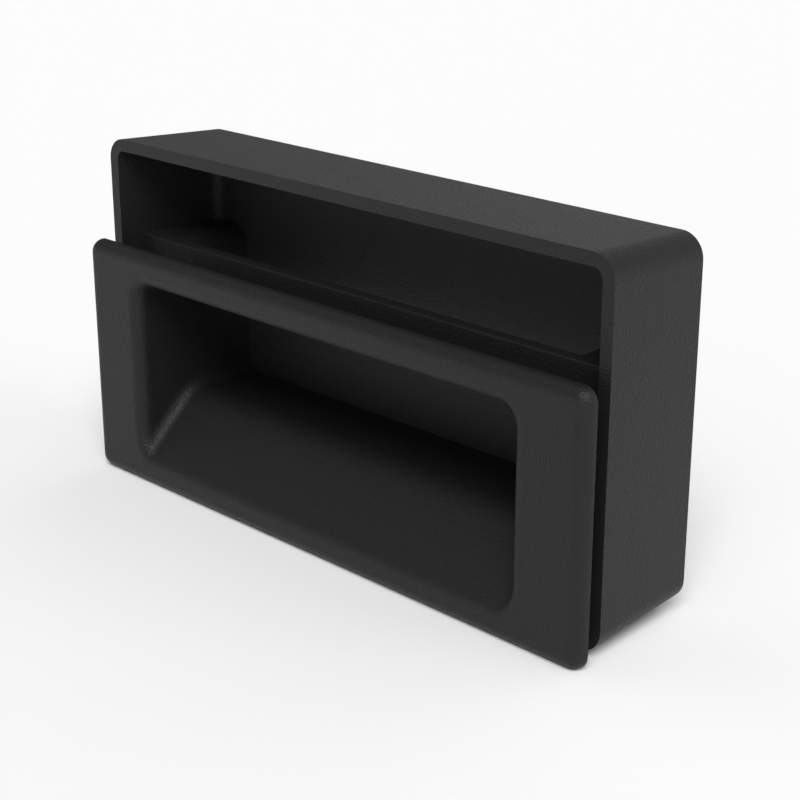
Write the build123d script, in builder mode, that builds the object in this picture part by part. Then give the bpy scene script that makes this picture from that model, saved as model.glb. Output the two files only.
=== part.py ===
from build123d import *
import os
from math import cos, radians, sin, tan

# Recessed pull handle for a panel: a moulded front pull that plugs into a moulded back
# housing, with the panel held in the slot between them. Millimetres and degrees.
# X runs across the handle, +Y from the front to the back, +Z up. The origin is the middle
# of the housing's bottom edge, on the plane of its rim.

# Back housing: an open-fronted box whose walls taper towards its back
housing_width = 150.0
housing_height = 79.0
housing_depth = 28.0
housing_corner = 5.1
housing_draft = 2.6
rim_wall = 2.8
back_wall = 2.0
cavity_draft = 9.5
cavity_corner = 2.4
cavity_end_fillet = 2.5

# Front pull: face plate
panel_gap = 4.4
plate_width = 151.6
plate_head = 7.8
plate_overhang = 1.2
plate_thickness = 3.1
plate_corner = 3.2
plate_round = 2.9

# Front pull: finger recess behind the plate
shoulder_width = 14.4
opening_height = 43.0
opening_foot = 5.0
opening_corner = 4.0
opening_round = 3.0
ramp_angle = 45.0
crest_radius = 9.5
shelf_height = 19.7
floor_fillet = 2.8
pull_wall = 2.8
rear_edge_round = 0.4

# Front pull: pull bar and the shoulders beside the finger room
bar_setback = 5.0
bar_height = 7.75
bar_hook_round = 1.0
bar_top_round = 0.3
shoulder_rise = 1.7
shoulder_round = 5.4

# Play between the pull and the sides of the cavity that it plugs into
fit_clearance = 0.15

# Flat left on an edge whose round takes up the rest of it, how far a cut runs past what it
# cuts, and how near a selected face or edge lies to its place
edge_land = 0.15
overrun = 10.0
near = 0.01

# Planes and lines that both pieces share, worked out from the sizes above
cavity_depth = housing_depth - back_wall
plate_rear = -panel_gap
plate_front = plate_rear - plate_thickness
plate_bottom = -plate_overhang
opening_top = opening_foot + opening_height
opening_width = housing_width - 2 * (rim_wall + shoulder_width)
plate_height = plate_overhang + opening_top + plate_head
bar_rear = bar_setback + pull_wall
shoulder_height = opening_top + bar_height
shoulder_back_height = shoulder_height + (cavity_depth - bar_setback) * tan(radians(shoulder_rise))


def across(depth):
    """The plane across the handle at a depth behind the rim."""
    return Plane.XZ.offset(-depth)


def drafted_block(start, end, margin, draft_angle, corner):
    """A moulded block between two depths. Its sides stand inside the housing's outline by the
    margin at its front, draw in towards its back, and meet in rounded corners."""
    with BuildPart() as block:
        with BuildSketch(across(start)):
            with Locations((0, housing_height / 2)):
                Rectangle(housing_width - 2 * margin, housing_height - 2 * margin)
        extrude(amount=start - end)
        sides = block.faces().filter_by(Axis.Y, reverse=True)
        draft(sides, neutral_plane=across(start), angle=-draft_angle)
        long_edges = block.edges().group_by(Axis.Y)[1]
        fillet(long_edges, corner)
    return block.part


def cavity_block(start, inset):
    """The form of the cavity from a depth to its back, moved in from its walls by the inset."""
    margin = rim_wall + start * tan(radians(cavity_draft)) + inset
    return drafted_block(start, cavity_depth, margin, cavity_draft, cavity_corner)


def shoulder_plane(drop):
    """The sloping plane of the shoulders' tops, lowered by the drop."""
    return Plane(
        origin=(0, bar_setback, shoulder_height - drop),
        x_dir=(1, 0, 0),
        z_dir=(0, -sin(radians(shoulder_rise)), cos(radians(shoulder_rise))),
    )


def at(shapes, axis, position):
    """The faces or edges whose middle lies at a position along an axis."""
    return shapes.filter_by_position(axis, position - near, position + near)


# --- Back housing -------------------------------------------------------------

cavity_form = cavity_block(0, 0)
housing_form = drafted_block(0, housing_depth, 0, housing_draft, housing_corner)

with BuildPart() as cavity:
    add(cavity_form)
    fillet(cavity.faces().sort_by(Axis.Y)[-1].edges(), cavity_end_fillet)

with BuildPart() as back_housing:
    add(housing_form)
    add(cavity.part, mode=Mode.SUBTRACT)

back_housing.part.label = "back_housing"

# --- Front pull: finger recess and the tub wall around it -----------------------

# Seen from the side, the recess is a ramp up from the foot of the opening, a rounded
# crest, a level shelf to the back, and room behind the bar that is open at the top
ramp_slope = tan(radians(ramp_angle))
ramp_start = (plate_front - overrun, opening_foot - overrun * ramp_slope)
crest = (plate_front + (shelf_height - opening_foot) / ramp_slope, shelf_height)
shelf_end = (cavity_depth + overrun, shelf_height)
room_top = shoulder_back_height + overrun

with BuildPart() as recess:
    with BuildSketch(Plane.YZ.offset(-opening_width / 2)) as recess_outline:
        with BuildLine():
            floor_line = FilletPolyline(ramp_start, crest, shelf_end, radius=crest_radius)
            Polyline(
                floor_line @ 1,
                (cavity_depth + overrun, room_top),
                (bar_rear, room_top),
                (bar_rear, opening_top),
                (plate_front - overrun, opening_top),
                floor_line @ 0,
            )
        make_face()
    extrude(amount=opening_width)
    side_edges = recess.faces().filter_by(Axis.X).edges()
    floor_edges = side_edges.filter_by_position(Axis.Z, ramp_start[1], shelf_height)
    fillet(floor_edges, floor_fillet)
    lintel = at(recess.faces(), Axis.Z, opening_top)
    fillet(lintel.edges().filter_by(Axis.Y), opening_corner)

with BuildPart() as tub:
    with BuildSketch(Plane.YZ.offset(-opening_width / 2 - pull_wall)) as tub_outline:
        add(recess_outline.sketch_local)
        offset(amount=pull_wall, kind=Kind.INTERSECTION)
        with BuildLine():
            Polyline(
                (plate_rear, plate_bottom),
                (cavity_depth, plate_bottom),
                (cavity_depth, shoulder_back_height),
                (bar_setback, shoulder_height),
                (plate_rear, shoulder_height),
                close=True,
            )
        make_face(mode=Mode.INTERSECT)
    extrude(amount=opening_width + 2 * pull_wall)
    tub_sides = tub.faces().filter_by(Axis.X).edges()
    fillet(tub_sides.filter_by_position(Axis.Z, plate_bottom, shelf_height), floor_fillet + pull_wall)

# The space inside the shoulders and under the floor, open to the back
hollow_form = cavity_block(bar_rear, fit_clearance + pull_wall)

with BuildPart() as hollow:
    add(hollow_form)
    split(bisect_by=shoulder_plane(pull_wall), keep=Keep.BOTTOM)
    add(tub.part, mode=Mode.SUBTRACT)
    pocket_walls = hollow.faces().filter_by(Axis.X)
    fillet([wall.edges().sort_by(Axis.Z)[-1] for wall in pocket_walls], shoulder_round - pull_wall)

# --- Front pull ------------------------------------------------------------------

plug_form = cavity_block(bar_setback, fit_clearance)

with BuildPart() as front_pull:
    # The body that plugs into the housing
    add(plug_form)
    fillet(front_pull.faces().sort_by(Axis.Y)[-1].edges(), cavity_end_fillet + fit_clearance)
    split(bisect_by=shoulder_plane(0), keep=Keep.BOTTOM)
    add(hollow.part, mode=Mode.SUBTRACT)
    add(tub.part)

    # The face plate, in front of the panel
    with BuildSketch(across(plate_rear)):
        with Locations((0, plate_bottom + plate_height / 2)):
            RectangleRounded(plate_width, plate_height, plate_corner)
    extrude(amount=plate_thickness)
    add(recess.part, mode=Mode.SUBTRACT)

    # Rounded rim of the plate and rounded mouth of the recess
    plate_face = front_pull.faces().sort_by(Axis.Y)[0]
    fillet(plate_face.outer_wire().edges(), min(plate_round, plate_thickness - edge_land))
    plate_face = front_pull.faces().sort_by(Axis.Y)[0]
    fillet(plate_face.inner_wires()[0].edges(), opening_round)

    # Shoulders roll over into the finger room
    recess_sides = front_pull.edges().filter_by(
        lambda edge: abs(abs(edge.center().X) - opening_width / 2) < near
    )
    fillet(recess_sides.sort_by(Axis.Z)[-2:], shoulder_round)

    # Small round where the shelf and the side walls end against the housing's back wall
    rear_edges = at(front_pull.edges(), Axis.Y, cavity_depth)
    rear_edges = rear_edges.filter_by_position(Axis.Z, shelf_height - near, shoulder_back_height)
    side_limit = opening_width / 2 + near
    fillet(rear_edges.filter_by_position(Axis.X, -side_limit, side_limit), rear_edge_round)

    # Rounded lower edge of the bar, where the fingers hook, between the opening's corners
    hook_length = opening_width - 2 * opening_corner
    with BuildSketch(Plane.YZ.offset(-hook_length / 2)):
        with Locations((bar_rear - bar_hook_round / 2, opening_top + bar_hook_round / 2)):
            Rectangle(bar_hook_round, bar_hook_round)
        with Locations((bar_rear - bar_hook_round, opening_top + bar_hook_round)):
            Circle(bar_hook_round, mode=Mode.SUBTRACT)
    extrude(amount=hook_length, mode=Mode.SUBTRACT)

    # Softened top edge along the front of the bar and the flange
    bar_front = at(front_pull.edges(), Axis.Y, bar_setback)
    fillet(at(bar_front, Axis.Z, shoulder_height), bar_top_round)

    # Neck between the plate and the flange: its top corners follow the recess's
    neck_top = at(front_pull.faces(), Axis.Z, opening_top + pull_wall)
    fillet(neck_top.edges().filter_by(Axis.Y), opening_corner + pull_wall)

front_pull.part.label = "front_pull"

os.makedirs("parts", exist_ok=True)
export_step(back_housing.part, "parts/back_housing.step")
export_step(front_pull.part, "parts/front_pull.step")
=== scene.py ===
"""Looks for the recessed pull handle: two matt black moulded pieces on a white studio floor.

Lengths are in metres, with small sizes written in millimetres times MM. Angles are in degrees.
An azimuth is measured round the handle from its front, towards its right-hand side.
"""

import math

import bpy
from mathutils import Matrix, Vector


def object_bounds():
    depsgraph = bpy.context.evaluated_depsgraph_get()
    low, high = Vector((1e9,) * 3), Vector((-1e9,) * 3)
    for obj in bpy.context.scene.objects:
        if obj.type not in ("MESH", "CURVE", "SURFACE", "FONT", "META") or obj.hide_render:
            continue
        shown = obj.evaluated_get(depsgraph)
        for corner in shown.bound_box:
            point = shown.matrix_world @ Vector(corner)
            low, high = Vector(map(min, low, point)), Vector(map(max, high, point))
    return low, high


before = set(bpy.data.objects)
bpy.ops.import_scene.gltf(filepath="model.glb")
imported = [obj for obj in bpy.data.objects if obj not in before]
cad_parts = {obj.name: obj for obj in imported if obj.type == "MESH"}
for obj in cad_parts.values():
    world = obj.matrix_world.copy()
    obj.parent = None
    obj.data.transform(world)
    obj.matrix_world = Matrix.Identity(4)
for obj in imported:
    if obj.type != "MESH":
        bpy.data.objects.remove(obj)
cad_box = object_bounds()

MM = 0.001

# A long lens at the handle's front right, looking down at it
CAMERA_PLACE = Vector((258.99, -235.94, 159.71)) * MM
CAMERA_AZIMUTH = 45.24
CAMERA_TILT = -19.9
CAMERA_LENS = 78.62
CAMERA_SENSOR = 36.0

# Soft lamps far from the handle: azimuth, height above the floor, width across the sky, and
# strength, where 1 lights white paper that faces the lamp to white
SOFT_LAMPS = {
    "key_lamp": (45.0, 50.0, 32.0, 0.77),
    "front_lamp": (20.0, 40.0, 40.0, 0.15),
    "side_lamp": (105.0, 30.0, 45.0, 0.21),
    "left_lamp": (285.0, 60.0, 45.0, 0.11),
    "back_lamp": (168.0, 48.0, 50.0, 0.15),
    "rear_lamp": (210.0, 25.0, 30.0, 0.037),
}

# White floor, wide enough to end at the horizon. White walls seen behind the handle from low
# down, and above them a dark ceiling, which leaves the light to the lamps
FLOOR_WHITE = "#f6f6f6"
FLOOR_WIDTH = 80.0
WALL_WHITE = "#e8e8e8"
WALL_TOP = 13.5
CEILING_START = 14.5
CEILING_BLACK = "#000000"

# Moulded ABS: its grain traps part of the mirror sheen, so the specular level is under a smooth
# face's 0.5. The grain is of one size, and is drawn deeper than the real 0.02 mm so that it shows
ABS_BLACK = "#1c1c1c"
ABS_ROUGHNESS = 0.5
ABS_IOR = 1.5
ABS_SPECULAR = 0.24
GRAIN = 0.4 * MM
GRAIN_DETAIL = 0.0
GRAIN_DEPTH = 0.15 * MM


def linear(hex_colour):
    """The linear colour of an sRGB hex value, by the sRGB standard's curve, and opaque."""
    channels = [int(hex_colour[i : i + 2], 16) / 255 for i in (1, 3, 5)]
    return [c / 12.92 if c <= 0.04045 else ((c + 0.055) / 1.055) ** 2.4 for c in channels] + [1.0]


def add_node(tree, kind, settings=None, inputs=None):
    """A new node with its settings; an input is a value, or the socket that it is linked to."""
    node = tree.nodes.new(kind)
    for name, value in (settings or {}).items():
        setattr(node, name, value)
    for name, value in (inputs or {}).items():
        if isinstance(value, bpy.types.NodeSocket):
            tree.links.new(value, node.inputs[name])
        else:
            node.inputs[name].default_value = value
    return node


def new_material(name):
    """An empty node material and its tree."""
    material = bpy.data.materials.new(name)
    material.use_nodes = True
    material.node_tree.nodes.clear()
    return material, material.node_tree


def moulded_abs(name):
    """ABS moulded in a spark-eroded tool: black, with a soft sheen that its grain breaks up."""
    material, tree = new_material(name)
    place = add_node(tree, "ShaderNodeTexCoord").outputs["Object"]
    grain = add_node(
        tree,
        "ShaderNodeTexNoise",
        inputs={"Vector": place, "Scale": 1 / GRAIN, "Detail": GRAIN_DETAIL},
    )
    bump = add_node(
        tree,
        "ShaderNodeBump",
        inputs={"Height": grain.outputs["Fac"], "Distance": GRAIN_DEPTH},
    )
    shader = add_node(
        tree,
        "ShaderNodeBsdfPrincipled",
        inputs={
            "Base Color": linear(ABS_BLACK),
            "Roughness": ABS_ROUGHNESS,
            "IOR": ABS_IOR,
            "Specular IOR Level": ABS_SPECULAR,
            "Normal": bump.outputs["Normal"],
        },
    )
    add_node(tree, "ShaderNodeOutputMaterial", inputs={"Surface": shader.outputs["BSDF"]})
    return material


def dress(node, material):
    """Give a CAD piece its material."""
    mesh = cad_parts[node].data
    mesh.materials.clear()
    mesh.materials.append(material)


def studio_floor():
    """A wide white paper floor at the handle's lowest point."""
    lowest = cad_box[0][2]
    bpy.ops.object.select_all(action="DESELECT")
    bpy.ops.mesh.primitive_plane_add(size=FLOOR_WIDTH, location=(0, 0, lowest))
    floor = bpy.context.object
    floor.name = "studio_floor"
    material, tree = new_material("matt_white_paper")
    paper = add_node(tree, "ShaderNodeBsdfDiffuse", inputs={"Color": linear(FLOOR_WHITE)})
    add_node(tree, "ShaderNodeOutputMaterial", inputs={"Surface": paper.outputs["BSDF"]})
    floor.data.materials.append(material)


def studio_world():
    """White walls all round, and a dark ceiling over them."""
    world = bpy.data.worlds.new("studio_world")
    bpy.context.scene.world = world
    world.use_nodes = True
    tree = world.node_tree
    tree.nodes.clear()
    direction = add_node(tree, "ShaderNodeTexCoord").outputs["Generated"]
    height = add_node(tree, "ShaderNodeSeparateXYZ", inputs={"Vector": direction}).outputs["Z"]
    above_wall = add_node(
        tree,
        "ShaderNodeMapRange",
        {"interpolation_type": "SMOOTHSTEP"},
        {
            "Value": height,
            "From Min": math.sin(math.radians(WALL_TOP)),
            "From Max": math.sin(math.radians(CEILING_START)),
        },
    )
    colour = add_node(
        tree,
        "ShaderNodeMix",
        {"data_type": "RGBA"},
        {
            "Factor": above_wall.outputs["Result"],
            "A": linear(WALL_WHITE),
            "B": linear(CEILING_BLACK),
        },
    )
    room = add_node(tree, "ShaderNodeBackground", inputs={"Color": colour.outputs["Result"]})
    add_node(tree, "ShaderNodeOutputWorld", inputs={"Surface": room.outputs["Background"]})


def towards(azimuth, height):
    """The direction from the handle towards an azimuth and a height above the floor."""
    turn = math.radians(azimuth)
    rise = math.radians(height)
    level = math.cos(rise)
    return Vector((math.sin(turn) * level, -math.cos(turn) * level, math.sin(rise)))


def aim(thing, direction):
    """Point a lamp or the camera in a direction."""
    thing.rotation_euler = direction.to_track_quat("-Z", "Y").to_euler()


def soft_lamp(name, azimuth, height, width, strength):
    """A wide soft lamp at the far side of the studio."""
    data = bpy.data.lights.new(name, "SUN")
    data.angle = math.radians(width)
    data.energy = math.pi * strength
    lamp = bpy.data.objects.new(name, data)
    bpy.context.scene.collection.objects.link(lamp)
    aim(lamp, -towards(azimuth, height))


def studio_camera():
    """The camera, looking down at the handle from its front right."""
    data = bpy.data.cameras.new("studio_camera")
    data.lens = CAMERA_LENS
    data.sensor_width = CAMERA_SENSOR
    camera = bpy.data.objects.new("studio_camera", data)
    bpy.context.scene.collection.objects.link(camera)
    camera.location = CAMERA_PLACE
    aim(camera, -towards(CAMERA_AZIMUTH, -CAMERA_TILT))
    bpy.context.scene.camera = camera


bpy.context.scene.view_settings.view_transform = "Standard"

dress("front_pull", moulded_abs("front_pull_moulded_abs"))
dress("back_housing", moulded_abs("back_housing_moulded_abs"))

studio_floor()
studio_world()
for lamp_name, lamp_setting in SOFT_LAMPS.items():
    soft_lamp(lamp_name, *lamp_setting)
studio_camera()
